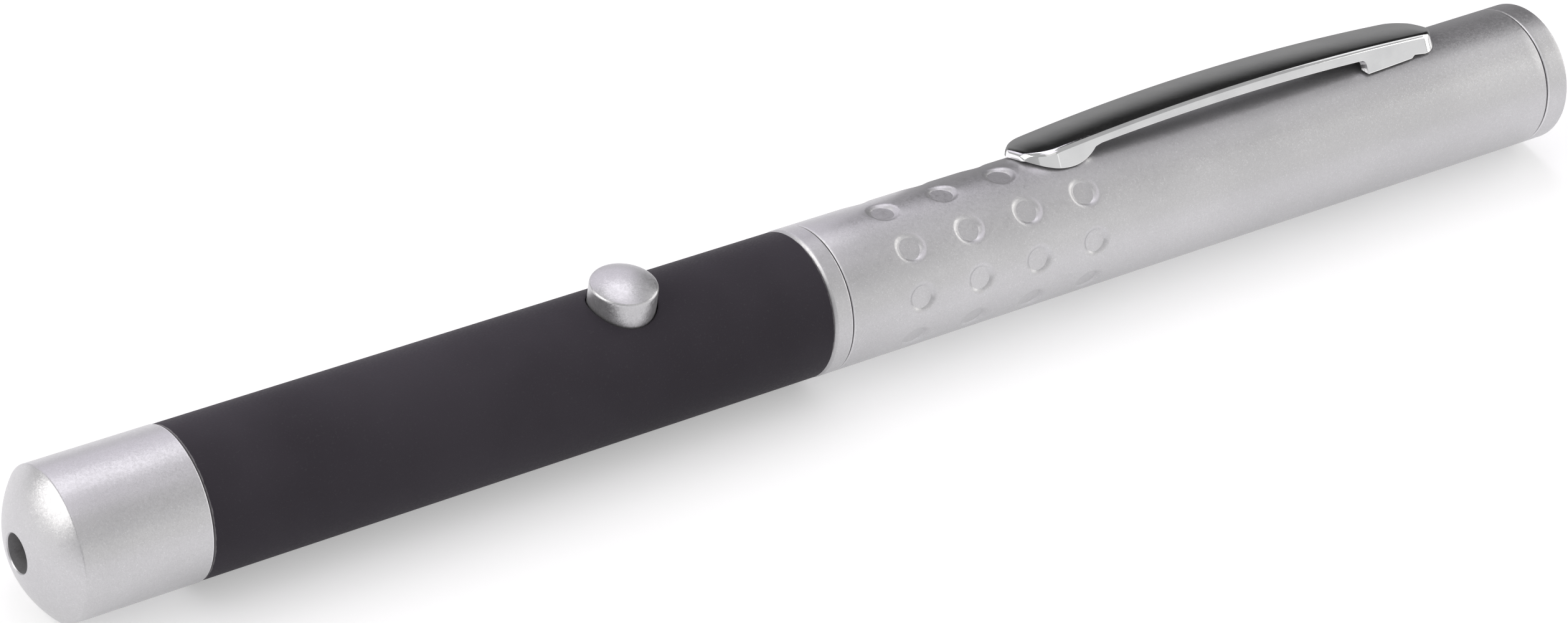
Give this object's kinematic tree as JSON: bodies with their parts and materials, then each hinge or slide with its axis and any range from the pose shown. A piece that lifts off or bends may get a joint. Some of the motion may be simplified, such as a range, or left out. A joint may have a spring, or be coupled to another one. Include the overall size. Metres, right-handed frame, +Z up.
{
  "type": "laser pointer",
  "caption": "Pen-shaped laser pointer: domed nose with beam aperture, push button, soft-touch front, dimpled screw-on rear tube and sprung pocket clip.",
  "frame": {"origin": "under the middle of the pen, at the level of the lowest line of its tube", "axes": "+X from nose to tail along the pen, +Z up through the push button, +Y to the side that the clip is turned towards"},
  "size_m": [0.158, 0.013, 0.0153],
  "materials": {
    "satin_silver": "satin silver lacquer with a fine metallic sparkle",
    "soft_black": "matte soft-touch charcoal black",
    "polished_chrome": "polished",
    "brass": "turned",
    "nickel": "nickel plated",
    "lens": "clear, polished",
    "board": "green solder mask",
    "moulding": "black moulded",
    "ceramic": "fired ceramic",
    "cell_jacket": "satin jacket, bare of print"
  },
  "bodies": {
    "front": {"nose_cap": "satin_silver", "lens_holder": "brass", "collimating_lens": "lens", "focus_spring": "nickel", "module_housing": "brass", "laser_diode": "nickel", "diode_lead_1": "nickel", "diode_lead_2": "nickel", "diode_lead_3": "nickel", "front_barrel": "soft_black", "driver_board": "board", "driver_chip": "moulding", "drive_transistor": "moulding", "sense_resistor": "ceramic", "filter_capacitor": "ceramic", "switch_base": "moulding", "switch_dome": "nickel", "switch_cover": "nickel", "board_carrier": "moulding", "contact_insulator": "moulding", "front_contact": "nickel", "coupling_ring": "satin_silver"},
    "button": {"push_button": "satin_silver"},
    "plunger": {"switch_plunger": "moulding"},
    "cells": {"battery_front": "cell_jacket", "battery_rear": "cell_jacket"},
    "spring": {"tail_spring": "nickel"},
    "rear_shell": {"rear_barrel": "satin_silver", "tail_cap": "satin_silver"},
    "clip": {"clip": "polished_chrome"}
  },
  "joints": [
    {"name": "button_press", "type": "slide", "parent": "front", "child": "button", "axis": [0, 0, -1], "range_m": [0, 0.0005], "stiffness_N_per_m": 1500, "springref_m": -0.0005},
    {"name": "switch_press", "type": "slide", "parent": "front", "child": "plunger", "axis": [0, 0, -1], "range_m": [0, 0.0005], "deforming": ["switch_dome"]},
    {"name": "rear_pull_off", "type": "slide", "parent": "front", "child": "cells", "axis": [1, 0, 0], "range_m": [0, 0.1]},
    {"name": "thread_travel", "type": "slide", "parent": "cells", "child": "spring", "axis": [1, 0, 0], "range_m": [0, 0.0045], "deforming": ["tail_spring"]},
    {"name": "rear_turn", "type": "hinge", "parent": "spring", "child": "rear_shell", "pos_m": [0, 0, 0.0065], "axis": [1, 0, 0], "range_deg": [0, 2160]},
    {"name": "clip_flex", "type": "hinge", "parent": "rear_shell", "child": "clip", "pos_m": [0.06444, 0.00219, 0.01182], "axis": [0, 0.9245, -0.3811], "range_deg": [0, 3], "stiffness_Nm_per_rad": 3, "springref_deg": -0.57}
  ],
  "couplings": [
    {"joint": "switch_press", "follows": "button_press", "ratio": 1},
    {"joint": "thread_travel", "follows": "rear_turn", "m_per_rad": 0.00011937}
  ]
}
